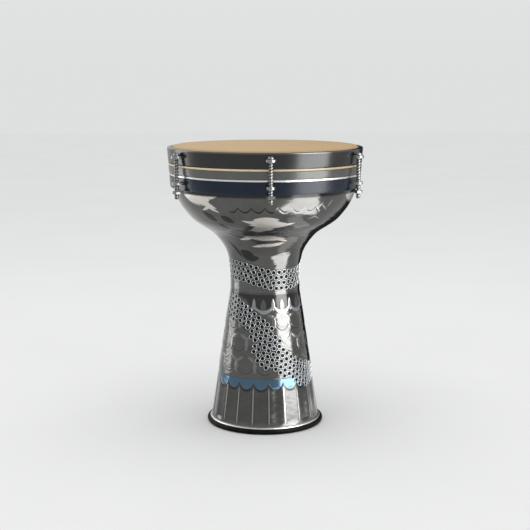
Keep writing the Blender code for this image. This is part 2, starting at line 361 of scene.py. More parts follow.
def turned(name, outline, material, segments=SEGMENTS, ends=False):
    """Turns an outline that runs down its outer side. With ends, both ends are on the axis."""
    outline = np.array(outline)
    angles = np.arange(segments) * math.tau / segments
    x = outline[:, :1] * np.cos(angles)
    y = outline[:, :1] * np.sin(angles)
    z = np.repeat(outline[:, 1:], segments, axis=1)
    points = np.stack([x, y, z], axis=-1).reshape(-1, 3)
    obj = add_mesh(name, points.tolist(), wrapped_quads(len(outline), segments, not ends), material)
    if ends:
        solid = bmesh.new()
        solid.from_mesh(obj.data)
        bmesh.ops.remove_doubles(solid, verts=solid.verts, dist=1e-7)
        solid.to_mesh(obj.data)
        solid.free()
    return obj


def add_finish_and_painted_light(obj, values):
    """Writes the mesh's layer of finish and painted light, which its material reads."""
    layer = obj.data.color_attributes.new("finish_and_painted_light", "FLOAT_COLOR", "POINT")
    layer.data.foreach_set("color", values.ravel())


def stack_radius(z):
    """Outer radius of the tapered stack of rings at a height."""
    return HOOP_R - RING_TAPER * (HOOP_TOP_Z - HOOP_ROUND - z)


def band(name, node, material):
    """A ring of the stack with rounded edges and a faintly crowned face. It replaces its CAD node."""
    low, high = span(node)
    bore = BOWL_R + RING_PLAY
    ease = min(0.6 * MM, (high - low) * 0.3)
    crown = 0.15 * MM
    face = []
    for share in np.linspace(0.0, 1.0, 6):
        z = high - ease - (high - low - 2 * ease) * share
        face.append((stack_radius(z) + crown * (1 - (2 * share - 1) ** 2), z))
    outline = [
        *arc((stack_radius(high) - ease, high - ease), ease, 90.0, 0.0, 4)[:-1],
        *face,
        *arc((stack_radius(low) - ease, low + ease), ease, 0.0, -90.0, 4)[1:],
        (bore, low),
        (bore, high),
    ]
    obj = turned(name, outline, material)
    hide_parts(node)
    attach(obj, "shell")


# ---------------- ornament


def folded(angle, times=1):
    """An angle brought within half a period of 0, for what comes round so many times in a turn."""
    return (angle + math.pi / times) % (math.tau / times) - math.pi / times


def mask(distance, soft=0.45 * MM):
    """1 inside a shape and 0 outside it, from a signed distance."""
    return np.clip(0.5 - distance / soft, 0.0, 1.0)


def leaf(x, y, lean, length, width, teeth=0.0):
    """Signed distance, near enough, to a pointed leaf about the origin. teeth makes its edge jagged."""
    c, s = math.cos(lean * DEGREE), math.sin(lean * DEGREE)
    along = x * c + y * s
    across = y * c - x * s
    half = width / 2 * (1 - (2 * along / length) ** 2)
    if teeth:
        tooth, drift = 3.1 * MM, 5.0 * MM
        saw = np.abs((along / tooth + 0.3 * np.sin(along / drift)) % 1 - 0.5) * 2
        half = half * (1 + teeth * (saw - 0.5))
    return np.abs(across) - half


def ripple(theta, z, seed, slope=1.0):
    """The slight waviness that hammering leaves, in metres."""
    draw = random.Random(seed)
    waves = 26
    steepness = 0.0009
    total = np.zeros_like(theta)
    for _ in range(waves):
        turns = draw.choice((6, 9, 13, 17, 22, 28, 35, 44))
        pitch = draw.uniform(3.5, 14.0) * MM
        lean = draw.choice((-1.0, 1.0))
        phase = draw.uniform(0.0, math.tau)
        total += np.sin(turns * theta + lean * math.tau * z / pitch + phase) * pitch
    return total * slope * steepness


RELIEF = 0.30 * MM  # how far the boldest work stands out or is cut in
LOW_RELIEF = 0.25 * MM
SLIGHT_RELIEF = 0.20 * MM
ARC_FULLNESS = 3.8  # of a scallop's arcs: at 4 their ends would be upright
BLUE_ARCS = 20
BLUE_TURN = 4.4 * DEGREE  # where one of the blue row's cusps is
BLUE_LOW_Z = 62.0 * MM
BLUE_HIGH_Z = 76.5 * MM
BLUE_DEPTH = 13.5 * MM
PANEL_FOOT_Z = 11.0 * MM
CELL_ROWS = 3
CELL_ARCS = 14
CELL_BASE_Z = 52.0 * MM  # one row below the first row's lowest points
CELL_ROW = 31.0 * MM
CELL_DEPTH = 20.0 * MM
GARLAND_ARCS = 12
GARLAND_TURN = 17.5 * DEGREE
GARLAND_Z = 168.5 * MM
GARLAND_DEPTH = 14.0 * MM
RIBBON = 4.8 * MM
SASHES = 2  # round the stem, and waves in the neck's band
SASH_OUTLINE = (  # degrees from the front, and the heights of its top and its foot in mm
    (-90, 186, 172), (-64, 190, 160), (-42, 189, 158), (-30, 183, 153), (-21, 174, 140),
    (-18, 173, 118), (-10, 170, 102), (2, 160, 93), (12, 149, 87), (27, 122, 79),
    (35, 106, 74), (45, 99, 67), (66, 95, 62), (90, 84, 70),
)
NECK_BAND_WAVE = (  # degrees from the front, and the height of the neck band's middle in mm
    (-90, 226), (-65, 229), (-40, 228), (-15, 223), (0, 219),
    (15, 216), (50, 217), (75, 221), (90, 226),
)
NECK_BAND_ROWS = 4
NECK_BAND_LIFT = 7.7 * MM  # from one row of its rings to the next
PUNCH_PITCH = 8.1 * MM  # from one ring to the next


def stem_radius(z):
    """Outer radius of the stem's cone at a height."""
    share = (z - STEM_FOOT_Z) / (LAP_Z - STEM_FOOT_Z)
    return STEM_FOOT_R + (NECK_R - STEM_FOOT_R) * share


def sash_edges(theta):
    """Heights of the punched sash's top and foot. A second sash starts half-way round."""
    angles, tops, feet = zip(*SASH_OUTLINE)
    turn = folded(theta, SASHES) / DEGREE
    return np.interp(turn, angles, tops) * MM, np.interp(turn, angles, feet) * MM


def in_sash(theta, z, margin):
    """1 in the sash and for a margin round it, and 0 elsewhere."""
    top, foot = sash_edges(theta)
    return mask(np.maximum(z - top, foot - z) - margin, 1.5 * MM)


def neck_band_centre(theta):
    """Height of the middle of the neck's band of rings."""
    angles, heights = zip(*NECK_BAND_WAVE)
    return np.interp(folded(theta, SASHES) / DEGREE, angles, heights) * MM


def scallop(theta, arcs, low, depth):
    """Height of a hanging scalloped line, and the share of the way across each of its arcs."""
    share = (theta * arcs / math.tau) % 1 - 0.5
    return low + depth * (1 - np.sqrt(np.clip(1 - ARC_FULLNESS * share**2, 0.0, 1.0))), share


def stem_ornament(theta, z):
    """Height, and how black, bright and blue, at each point of the stem."""
    r = stem_radius(z)
    layers = (ripple(theta, z, seed=4, slope=0.6), np.zeros_like(z), np.zeros_like(z), np.zeros_like(z))
    layers = honeycomb(theta, z, r, layers)
    layers = blue_scallops(theta, z, layers)
    layers = foot_panels(theta, z, layers)
    return garland(theta, z, r, layers)


def honeycomb(theta, z, r, layers):
    """Rows of cells with a dark line round and inside each, and three pale petals where they meet."""
    height, black, bright, blue = layers
    width = math.tau * r / CELL_ARCS
    free = (1 - in_sash(theta, z, 4.0 * MM)) * mask(z - GARLAND_Z + 1.0 * MM, 1.0 * MM)
    for row in range(1, CELL_ROWS + 1):
        low = CELL_BASE_Z + CELL_ROW * row
        edge, share = scallop(theta + math.pi * row / CELL_ARCS, CELL_ARCS, low, CELL_DEPTH)
        steep = np.hypot(1.0, ARC_FULLNESS * CELL_DEPTH * np.abs(share) / width)
        line = mask(np.abs(z - edge) / steep - 0.5 * MM) * free
        inner = mask(np.abs(z - edge - 4.5 * MM) / steep - 0.35 * MM)
        inner = inner * mask(np.abs(share) - 0.36, 0.02) * free
        x = (share - 0.5 * np.sign(share)) * width
        y = z - low - CELL_DEPTH + 1.0 * MM
        petals = leaf(x, y + 8.0 * MM, 90.0, 20.0 * MM, 5.2 * MM)
        for side in (-1, 1):
            outer = leaf(x - 5.2 * MM * side, y - 2.0 * MM, 90.0 - 58 * side, 14.0 * MM, 4.0 * MM)
            petals = np.minimum(petals, outer)
        petal = mask(petals) * free
        groove = np.maximum(line * (1 - petal), 0.6 * inner)
        height = height + RELIEF * petal - RELIEF * groove
        black = np.maximum(black, 0.85 * groove)
        bright = np.maximum(bright, 0.15 * petal)
    return height, black, bright, blue


def blue_scallops(theta, z, layers):
    """The row of blued half-discs, with a dark shade beneath it."""
    height, black, bright, blue = layers
    edge, _ = scallop(theta - BLUE_TURN, BLUE_ARCS, BLUE_LOW_Z, BLUE_DEPTH)
    inside = mask(edge - z) * mask(z - BLUE_HIGH_Z)
    shade = mask(np.abs(z - edge + 2.2 * MM) - 2.0 * MM, 1.8 * MM)
    ruled = mask(np.abs(z - BLUE_HIGH_Z) - 0.35 * MM)
    height = height - RELIEF * inside - LOW_RELIEF * ruled
    black = np.maximum(np.maximum(black * (1 - inside), 0.8 * shade), 0.7 * ruled)
    return height, black, bright * (1 - inside), np.maximum(blue, inside)


def foot_panels(theta, z, layers):
    """Hollow vertical panels under the scallops, with painted shade in them and bright ridges between them
    that are painted highlights.
    """
    height, black, bright, blue = layers
    share = ((theta - BLUE_TURN) * BLUE_ARCS / math.tau) % 1 - 0.5
    below = np.clip((BLUE_LOW_Z + 3.0 * MM - z) / (6.0 * MM), 0.0, 1.0)
    fade = below * np.clip((z - PANEL_FOOT_Z) / (5.0 * MM), 0.0, 1.0)
    hollow = np.cos(math.pi * share) ** 2 * fade
    ridge = mask(0.465 - np.abs(share), 0.03) * fade
    # painted shade in each panel's hollow; the ridges get a painted highlight
    panel_shade = mask(0.40 - np.abs(share), 0.06) * fade * (1 - ridge)
    height = height - 1.0 * MM * hollow
    # painted shade over all the panels, deepest in their hollows
    black = np.maximum(black, np.maximum(0.30 * fade, 0.75 * panel_shade)) * (1 - 0.9 * ridge)
    return height, black, np.maximum(bright, 0.42 * ridge), blue


def garland(theta, z, r, layers):
    """A pale ribbon that hangs in arcs above the sash, with a leaf at each joint and dark fields above."""
    height, black, bright, blue = layers
    edge, share = scallop(theta + GARLAND_TURN, GARLAND_ARCS, GARLAND_Z, GARLAND_DEPTH)
    width = math.tau * r / GARLAND_ARCS
    ribbon = mask(np.abs(z - edge - RIBBON / 2) - RIBBON / 2)
    joint = (np.abs(share) - 0.5) * width
    leaves = mask(leaf(joint, z - GARLAND_Z - 13.0 * MM, 90.0, 17.0 * MM, 4.6 * MM))
    free = 1 - in_sash(theta, z, 2.5 * MM)
    pale = np.maximum(ribbon, leaves) * free
    above = mask(edge + RIBBON - z) * mask(z - LAP_Z + 1.5 * MM, 0.8 * MM)
    tongue = mask(leaf(share * width, z - GARLAND_Z - 11.0 * MM, 90.0, 20.0 * MM, 8.5 * MM))
    field = 0.72 * above * (1 - np.maximum(pale, tongue)) * free
    height = height + LOW_RELIEF * pale - LOW_RELIEF * field
    black = np.maximum(black * (1 - pale), field)
    return height, black, np.maximum(bright, 0.60 * pale), np.maximum(blue, 0.45 * pale)


MOTIFS = 3  # round the bowl
PAINTED_RING_SHADOW_Z = 341.5 * MM  # above this the bowl is darkened with painted shadow, up under the lower ring
WAVES = 42  # scallops in the line round the bowl
WAVE_Z = 321.0 * MM
WAVE_DEPTH = 7.5 * MM
WAVE_MIDDLE = 7.0 * DEGREE  # from the middle of a motif
WAVE_REACH = 30.0 * DEGREE  # to each side of that
WAVE_LIT_FROM = 6.0 * DEGREE  # to the right of this the line is a painted highlight, pale and not blackened
HAIR_LEAF = 2.5  # pale leaves narrower than this, in mm, are less bright
DARK_LEAVES = (  # degrees from the middle of a motif, height in mm, lean, length, width
    (-41, 313, -44, 27, 12), (-27, 310, -35, 22, 11), (-33, 299, -45, 17, 8), (-22, 289, -10, 34, 20),
    (-30, 284, -30, 26, 9), (-43, 262, -66, 36, 6.5), (-26, 253, -35, 26, 16), (-18, 248, 10, 18, 9),
)
PAINTED_REFLECTIONS_AND_CURLS = (  # the same for the motif's pale leaves, with how jagged they are: the wider ones are painted reflections, the thinnest are pale engraved curls
    (1, 311, 0, 36, 9, 0.3), (-1, 308.5, 3, 40, 8, 0.5), (4, 306.5, -3, 40, 8, 0.4),
    (-6, 305, -14, 44, 6, 0.3), (3, 303.5, 7, 50, 8, 0.4), (-1, 301.5, -5, 42, 8, 0.4),
    (10, 301, 15, 48, 6.5, 0.3), (0, 299, 4, 36, 9, 0.5), (-2, 296, -2, 32, 8, 0.4),
    (-7, 293.5, -10, 20, 6, 0.6), (-20, 279, 14, 24, 5, 0.6), (-10, 281.5, -4, 32, 7, 0.7),
    (-1, 282, 9, 36, 8, 0.7), (1, 278.5, -3, 40, 6, 0.7), (10, 281, -10, 34, 7, 0.6),
    (18, 277.5, -20, 22, 4.5, 0.5), (-5, 268, 8, 26, 4.5, 0.6), (5, 269, 3, 36, 6.0, 0.7),
    (14, 271, 10, 24, 4.5, 0.6), (-48, 338, -4, 54, 20, 0.55), (-42, 333, -24, 46, 10, 0.5),
    (-38, 340, 10, 44, 7, 0.4), (-40, 325, 24, 24, 4, 0.2), (-36, 324, -28, 24, 4, 0.2),
    (37, 329, 55, 14, 2.2, 0.2), (41, 326, -40, 16, 2.4, 0.2), (45, 331, 62, 15, 2.2, 0.2),
    (34, 312, 25, 15, 2.0, 0.2), (38, 312, -28, 15, 2.0, 0.2),
)


def bowl_ornament(theta, z, along, along_at):
    """As stem_ornament, for the bowl. along is the distance up its skin, and along_at a height's."""
    radius = np.interp(z, *BOWL_RADIUS)
    height = ripple(theta, along, seed=9)
    motif = folded(theta, MOTIFS)

    def leaf_shape(turn, level, lean, length, width, teeth=0.0):
        x = radius * folded(motif - turn * DEGREE, MOTIFS)
        y = along - along_at(level * MM)
        return mask(leaf(x, y, lean, length * MM, width * MM, teeth))

    share = (theta * WAVES / math.tau) % 1 - 0.5
    wave = along_at(WAVE_Z) + WAVE_DEPTH * (2 * np.abs(share)) ** 2.0
    line = mask(np.abs(along - wave) - 1.25 * MM)
    line = line * mask((np.abs(motif - WAVE_MIDDLE) - WAVE_REACH) * radius, 4.0 * MM)
    # painted highlight: on its right part the line is pale instead of black
    lit_side = mask((WAVE_LIT_FROM - motif) * radius, 4.0 * MM)
    black = 0.92 * line * (1 - lit_side)
    bright = 0.07 * line * lit_side
    height -= RELIEF * line
    for dark_leaf in DARK_LEAVES:
        shape = leaf_shape(*dark_leaf)
        black = np.maximum(black, 0.80 * shape)
        height -= SLIGHT_RELIEF * shape
    # pale leaves: painted reflections, and pale engraved curls where narrower than HAIR_LEAF
    for pale_leaf in PAINTED_REFLECTIONS_AND_CURLS:
        shape = leaf_shape(*pale_leaf)
        width = pale_leaf[4]
        bright = np.maximum(bright, (0.40 if width < HAIR_LEAF else 1.0) * shape)
        black = black * (1 - shape)
    # painted shadow of the lower ring, darkening the bowl's top
    painted_ring_shadow = mask(PAINTED_RING_SHADOW_Z - z, 2.5 * MM)
    black = np.maximum(black, 0.85 * painted_ring_shadow)
    bright = bright * (1 - painted_ring_shadow)
    return height, black, bright, np.zeros_like(z)


def paint_shade_round(rows_z, radius_at, centres, black):
    """Paints shade on the metal close round each punched mark."""
    shade_r = 4.3 * MM
    search_r = 5.0 * MM
    step = math.tau / COLUMNS
    for theta, z in centres:
        near = np.where(np.abs(rows_z - z) < search_r)[0]
        if len(near) == 0:
            continue
        first, last = near.min(), near.max() + 1
        r = radius_at(z)
        middle_column = int(round((theta + FACING) / step))
        columns_out = int(search_r / (r * step)) + 1
        columns_near = np.arange(middle_column - columns_out, middle_column + columns_out + 1)
        across = (columns_near * step - (theta + FACING)) * r
        distance = np.hypot(across[None, :], (rows_z[first:last] - z)[:, None])
        # painted shade round the mark
        shade = 0.85 * mask(distance - shade_r, 0.8 * MM)
        patch = np.ix_(np.arange(first, last), columns_near % COLUMNS)
        black[patch] = np.maximum(black[patch], shade)


def engraved(name, outer, inner, ornament, material, node, marks):
    """A turned shell with relief on its outer side and a plain inner side. It replaces its CAD node."""
    outer = np.array(outer)
    inner = np.array(inner)
    angles = np.arange(COLUMNS) * math.tau / COLUMNS
    run = np.gradient(outer, axis=0)
    run /= np.linalg.norm(run, axis=1, keepdims=True)
    outward = np.stack([-run[:, 1], run[:, 0]], axis=1)
    level = np.zeros((1, COLUMNS))
    theta = folded(angles - FACING)[None, :] + np.zeros((len(outer), 1))
    z = outer[:, 1:] + level
    height, black, bright, blue = ornament(theta, z)
    height_to_radius = (outer[::-1, 1], outer[::-1, 0])
    paint_shade_round(outer[:, 1], lambda at: float(np.interp(at, *height_to_radius)), marks, black)
    radius = outer[:, :1] + outward[:, :1] * height
    up = outer[:, 1:] + outward[:, 1:] * height
    radius = np.vstack([radius, inner[:, :1] + level])
    up = np.vstack([up, inner[:, 1:] + level])
    points = np.stack([radius * np.cos(angles), radius * np.sin(angles), up], axis=-1).reshape(-1, 3)
    rows = len(outer) + len(inner)
    obj = add_mesh(name, points.tolist(), wrapped_quads(rows, COLUMNS, True), material, sharp=60.0)
    finish_and_painted_light = np.zeros((rows, COLUMNS, 4))
    finish_and_painted_light[: len(outer), :, 0] = black
    finish_and_painted_light[: len(outer), :, 1] = bright
    finish_and_painted_light[: len(outer), :, 2] = blue
    finish_and_painted_light[:, :, 3] = 1.0
    add_finish_and_painted_light(obj, finish_and_painted_light)
    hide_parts(node)
    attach(obj, "shell")


def outer_profile(node):
    """(radius, height) of a turned CAD node's outward faces, from the top down."""
    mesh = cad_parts[node].data
    found = set()
    for face in mesh.polygons:
        if face.normal.x * face.center.x + face.normal.y * face.center.y > 0.03 * face.center.length:
            for index in face.vertices:
                x, y, z = mesh.vertices[index].co
                found.add((round(math.hypot(x, y), 5), round(z, 5)))
    return sorted(found, key=lambda point: -point[1])


def smooth_rows(points, spacing):
    """A Catmull-Rom curve through the points, in steps of about the spacing."""
    points = [np.array(p) for p in points]
    knots = [2 * points[0] - points[1], *points, 2 * points[-1] - points[-2]]
    rows = []
    for a, b, c, d in zip(knots, knots[1:], knots[2:], knots[3:]):
        steps = max(1, round(float(np.linalg.norm(c - b)) / spacing))
        for t in np.arange(steps) / steps:
            bend = (c - a) * t + (2 * a - 5 * b + 4 * c - d) * t**2 + (3 * b - a - 3 * c + d) * t**3
            rows.append(tuple(b + 0.5 * bend))
    return [*rows, tuple(points[-1])]


BOWL_PROFILE = outer_profile("bowl")
BOWL_RADIUS = ([z for _, z in reversed(BOWL_PROFILE)], [r for r, _ in reversed(BOWL_PROFILE)])
BOWL_WALL_Z = 352.0 * MM  # above this the bowl's wall is plain, behind the rings


def make_bowl(material, marks):
    """The bowl: its wall and rim under the rings as they are in the frame, and its curve engraved."""
    rim = [p for p in BOWL_PROFILE if p[1] > BOWL_WALL_Z]
    skin = smooth_rows([p for p in BOWL_PROFILE if p[1] <= BOWL_WALL_Z], ROW)
    outer = [*rim, *skin]
    upward = np.array(outer)[::-1]
    lengths = np.concatenate([[0.0], np.cumsum(np.linalg.norm(np.diff(upward, axis=0), axis=1))])

    def along_at(level):
        return float(np.interp(level, upward[:, 1], lengths))

    def ornament(theta, z):
        along = np.interp(z, upward[:, 1], lengths)
        values = bowl_ornament(theta, z, along, along_at)
        seen = mask(z - 349.0 * MM, 2.0 * MM)
        return [value * seen for value in values]

    bottom_up = [p for p in reversed(BOWL_PROFILE) if p[1] < HEAD_Z - 4.0 * MM]
    inner = []
    for (r0, z0), (r1, z1) in zip(bottom_up, bottom_up[1:]):
        length = math.hypot(r1 - r0, z1 - z0)
        inner.append((r0 - WALL * (z1 - z0) / length, max(z0 + WALL * (r1 - r0) / length, bottom_up[0][1])))
    inner.append((BOWL_R - BEARING_EDGE_R, BOWL_PROFILE[0][1] - WALL))
    engraved("bowl_shell", outer, inner, ornament, material, "bowl", marks)


def make_stem(material, marks):
    """The stem: the spigot inside the neck, the engraved cone and the bright bead at its foot."""
    spigot_r = NECK_R - WALL - GAP
    waist_z = LAP_Z - 12.0 * MM
    top = span("stem")[1]
    rows = int((LAP_Z - STEM_FOOT_Z) / ROW)
    cone = [(stem_radius(z), z) for z in np.linspace(LAP_Z, STEM_FOOT_Z, rows)]
    bead = arc((BEAD_CENTRE_R, STEM_BASE_Z + BEAD_R), BEAD_R, 80.0, -90.0, 12)
    outer = [(spigot_r, top), (spigot_r, LAP_Z + 0.1 * MM), *cone, *bead]

    def ornament(theta, z):
        seen = mask(z - LAP_Z + 0.5 * MM, 0.6 * MM) * mask(STEM_FOOT_Z - z, 0.8 * MM)
        height, black, bright, blue = [value * seen for value in stem_ornament(theta, z)]
        return height, black, np.maximum(bright, mask(z - STEM_FOOT_Z)), blue

    inner = [
        (STEM_FOOT_R - WALL, STEM_BASE_Z),
        (stem_radius(waist_z) - WALL, waist_z),
        (spigot_r - WALL, LAP_Z - 3.0 * MM),
        (spigot_r - WALL, top),
    ]
    engraved("stem_shell", outer, inner, ornament, material, "stem", marks)


# ---------------- punched rings

PUNCH_HEIGHT = 0.34 * MM
PIT_R = 2.7 * MM
PIT_OVERLAP = 1.05  # a pit's disc is this much wider than its hole, to reach under the ring
PUNCH_SECTION = (  # radius, and height as a share of PUNCH_HEIGHT, from the outside in
    (3.45 * MM, -0.1),
    (3.32 * MM, 0.75),
    (3.22 * MM, 1.0),
    (2.96 * MM, 1.0),
    (2.84 * MM, 0.75),
    (PIT_R, -0.1),
)
SASH_LEAN = -38 * DEGREE  # of the rows of rings
SASH_HALF_WIDTH = 86 * DEGREE
SASH_ORIGIN_Z = 130.0 * MM  # height of the ring that the rows are counted from
ROW_SPACING = 0.87  # of the rings' rows, as a share of their pitch
NECK_COLUMNS = round(math.tau * NECK_R / PUNCH_PITCH)


def punch_centres_on_sash(start):
    """(angle, height) of each ring of one sash: a staggered lattice on the cone's flat development."""
    cone = math.atan((STEM_FOOT_R - NECK_R) / (LAP_Z - STEM_FOOT_Z))
    apex_distance = stem_radius(SASH_ORIGIN_Z) / math.sin(cone)
    margin = 1.5 * MM
    centres = []
    for row in range(-16, 17):
        for column in range(-20, 21):
            along = (column + 0.5 * (row % 2)) * PUNCH_PITCH
            across = row * PUNCH_PITCH * ROW_SPACING
            x = along * math.cos(SASH_LEAN) - across * math.sin(SASH_LEAN)
            y = along * math.sin(SASH_LEAN) + across * math.cos(SASH_LEAN) - apex_distance
            theta = math.atan2(x, -y) / math.sin(cone)
            r = math.hypot(x, y) * math.sin(cone)
            z = STEM_FOOT_Z + (STEM_FOOT_R - r) / math.tan(cone)
            top, foot = sash_edges(theta)
            if abs(theta) < SASH_HALF_WIDTH and foot - margin < z < top + margin:
                centres.append((start + theta, z))
    return centres


def punch_centres_on_neck():
    """The same for the neck's band: staggered rows that rise and fall together."""
    centres = []
    for row in range(NECK_BAND_ROWS):
        for i in range(NECK_COLUMNS):
            theta = (i + 0.5 * (row % 2)) * math.tau / NECK_COLUMNS
            z = float(neck_band_centre(theta)) + (row - (NECK_BAND_ROWS - 1) / 2) * NECK_BAND_LIFT
            centres.append((theta, z))
    return centres


def loosened(centres, seed):
    """The centres, each a little off its place, as hand punching leaves them."""
    draw = random.Random(seed)
    stray = 0.3
    moved = []
    for theta, z in centres:
        moved_theta = theta + draw.uniform(-stray, stray) * MM / NECK_R
        moved.append((moved_theta, z + draw.uniform(-stray, stray) * MM))
    return moved


def on_surface(theta, z, radius_at, height):
    return polar(radius_at(z) + height, theta + FACING, z)


def disc_edge(theta, z, radius_at, size, height):
    """Points round a disc laid on the surface, at a height above it."""
    points = []
    for i in range(PUNCH_SIDES):
        a = math.tau * i / PUNCH_SIDES
        turn = theta + size * math.cos(a) / radius_at(z)
        points.append(on_surface(turn, z + size * math.sin(a), radius_at, height))
    return points


def punch_marks(name, centres, radius_at, rim, pit_shade):
    """Raised rings and the black discs of painted shade inside them, laid on the surface."""
    ring_points, ring_faces, pit_points, pit_faces = [], [], [], []
    for theta, z in centres:
        first = len(ring_points)
        for size, rise in PUNCH_SECTION:
            ring_points.extend(disc_edge(theta, z, radius_at, size, PUNCH_HEIGHT * rise))
        for k in range(len(PUNCH_SECTION) - 1):
            a = first + k * PUNCH_SIDES
            b = a + PUNCH_SIDES
            for i in range(PUNCH_SIDES):
                j = (i + 1) % PUNCH_SIDES
                ring_faces.append((a + i, a + j, b + j, b + i))
        centre = len(pit_points)
        pit_points.append(on_surface(theta, z, radius_at, 0.06 * MM))
        pit_points.extend(disc_edge(theta, z, radius_at, PIT_R * PIT_OVERLAP, 0.10 * MM))
        for i in range(PUNCH_SIDES):
            pit_faces.append((centre, centre + 1 + i, centre + 1 + (i + 1) % PUNCH_SIDES))
    rings = add_mesh(f"{name}_rings", ring_points, ring_faces, rim, sharp=50.0)
    pit_shades = add_mesh(f"{name}_pits", pit_points, pit_faces, pit_shade)
    for obj in (rings, pit_shades):
        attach(obj, "shell")


# ---------------- hoop, head and foot


def make_hoop(material):
    """The tension hoop, with the inward lip at its top that presses on the flesh hoop."""
    low, high = span("tension_hoop")
    lip_round = 0.9 * MM
    foot_round = 0.8 * MM
    bore = HOOP_R - HOOP_WALL
    lip_r = reach("drumhead") + 0.95 * MM
    under_lip = span("flesh_hoop")[1] + GAP
    face_ends = (high - 8.0 * MM, low + 6.0 * MM)
    outline = [
        *arc((lip_r + lip_round, high - lip_round), lip_round, 180.0, 90.0, 4),
        *arc((HOOP_R - HOOP_ROUND, high - HOOP_ROUND), HOOP_ROUND, 90.0, 0.0, 8),
        *((stack_radius(z), z) for z in face_ends),
        *arc((stack_radius(low) - foot_round, low + foot_round), foot_round, 0.0, -90.0, 4),
        (bore, low),
        (bore, under_lip),
        (lip_r, under_lip),
    ]
    obj = turned("tension_hoop_band", outline, material)
    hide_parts("tension_hoop")
    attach(obj, "hoop")


def make_head(material):
    """The film, dead flat to its bearing edge and then drawn down inside the hoop."""
    side = reach("drumhead")
    bend = BEARING_EDGE_R + GAP + FILM
    low = span("drumhead")[0]
    centre = (side - bend, HEAD_Z - bend)
    flat = [(r, HEAD_Z) for r in np.linspace(0.0, side - bend, 14)[:-1]]
    under = [(r, HEAD_Z - FILM) for r in np.linspace(side - bend, 0.0, 6)[1:]]
    outline = [
        *flat,
        *arc(centre, bend, 90.0, 0.0, 10),
        (side, low),
        (side - FILM, low),
        *arc(centre, bend - FILM, 0.0, 90.0, 10),
        *under,
    ]
    obj = turned("head_skin", outline, material, ends=True)
    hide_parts("drumhead")
    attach(obj, "shell")


def make_foot(material):
    """The rubber ring: a channel for the stem's edge, with a round nose outside."""
    r = reach("foot_ring")
    nose = 3.6 * MM
    groove_in = STEM_FOOT_R - WALL - 0.6 * MM
    groove_out = BEAD_CENTRE_R + BEAD_R + 0.4 * MM
    groove_z = STEM_BASE_Z - GAP
    inside = groove_in - 1.7 * MM
    inner_wall_z = groove_z + 1.6 * MM
    outer_wall_z = groove_z + 1.0 * MM
    ease = 1.0 * MM
    outline = [
        *arc((r - nose, nose), nose, 100.0, -90.0, 20),
        *arc((inside + ease, ease), ease, -90.0, -180.0, 4),
        (inside, inner_wall_z),
        (groove_in, inner_wall_z),
        (groove_in, groove_z),
        (groove_out, groove_z),
        (groove_out, outer_wall_z),
    ]
    obj = turned("foot_rubber_ring", outline, material)
    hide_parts("foot_ring")
    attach(obj, "shell")


# ---------------- tension screws


def middle(node):
    """Centre of a CAD node's box."""
    low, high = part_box(node)
    return [(a + b) / 2 for a, b in zip(low, high)]


def half_size(node, axis):
    low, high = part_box(node)
    return (high[axis] - low[axis]) / 2


def moved_to(obj, place, turn=0.0):
    """The object with its mesh turned about the upright axis and moved, and its own origin left at 0."""
    obj.location = place
    obj.rotation_euler = (0.0, 0.0, turn)
    bpy.context.view_layer.update()
    obj.data.transform(obj.matrix_world)
    obj.location = (0.0, 0.0, 0.0)
    obj.rotation_euler = (0.0, 0.0, 0.0)
    return obj


def as_mesh(obj, name, material):
    """The evaluated object as a plain mesh object, in place of the original."""
    bpy.context.view_layer.update()
    mesh = bpy.data.meshes.new_from_object(obj.evaluated_get(bpy.context.evaluated_depsgraph_get()))
    new = new_object(name, mesh)
    new.matrix_world = obj.matrix_world
    bpy.data.objects.remove(obj)
    mesh.materials.clear()
    return finish_mesh(new, material, 35.0)


def cut(obj, cutter):
    """Cuts one object out of another, once as_mesh is called."""
    tool = obj.modifiers.new("cut", "BOOLEAN")
    tool.operation = "DIFFERENCE"
    tool.solver = "EXACT"
    tool.object = cutter


def box_mesh(name, size, material):
    x, y, z = (side / 2 for side in size)
    corners = [(a, b, c) for a in (-x, x) for b in (-y, y) for c in (-z, z)]
    faces = [(0, 1, 3, 2), (4, 6, 7, 5), (0, 4, 5, 1), (2, 3, 7, 6), (0, 2, 6, 4), (1, 5, 7, 3)]
    return add_mesh(name, corners, faces, material)


def screw_head(name, radius, height, material, slot_turn):
    """A domed head about its own axis, its underside at z = 0, with a driver's slot."""
    slot_width = 1.6 * MM
    slot_depth = 1.8 * MM
    bulge = 0.05 * MM
    ease = 0.3 * MM
    dome = height - SCREW_HEAD_RIM
    ball = (radius**2 + dome**2) / (2 * dome)
    rim_angle = math.degrees(math.acos(radius / ball))
    crown = arc((0.0, height - ball), ball, 90.0, rim_angle, 10)
    outline = [
        (0.0, height),
        *crown[1:],
        (radius + bulge, SCREW_HEAD_RIM * 0.7),
        (radius, ease),
        (radius - ease, 0.0),
        (0.0, 0.0),
    ]
    head = turned(f"{name}_blank", outline, material, segments=SCREW_HEAD_SEGMENTS, ends=True)
    cutter = box_mesh(f"{name}_cutter", (4 * radius, slot_width, 2 * slot_depth), material)
    moved_to(cutter, (0.0, 0.0, height), slot_turn)
    cut(head, cutter)
    slotted = as_mesh(head, name, material)
    bpy.data.objects.remove(cutter)
    return slotted


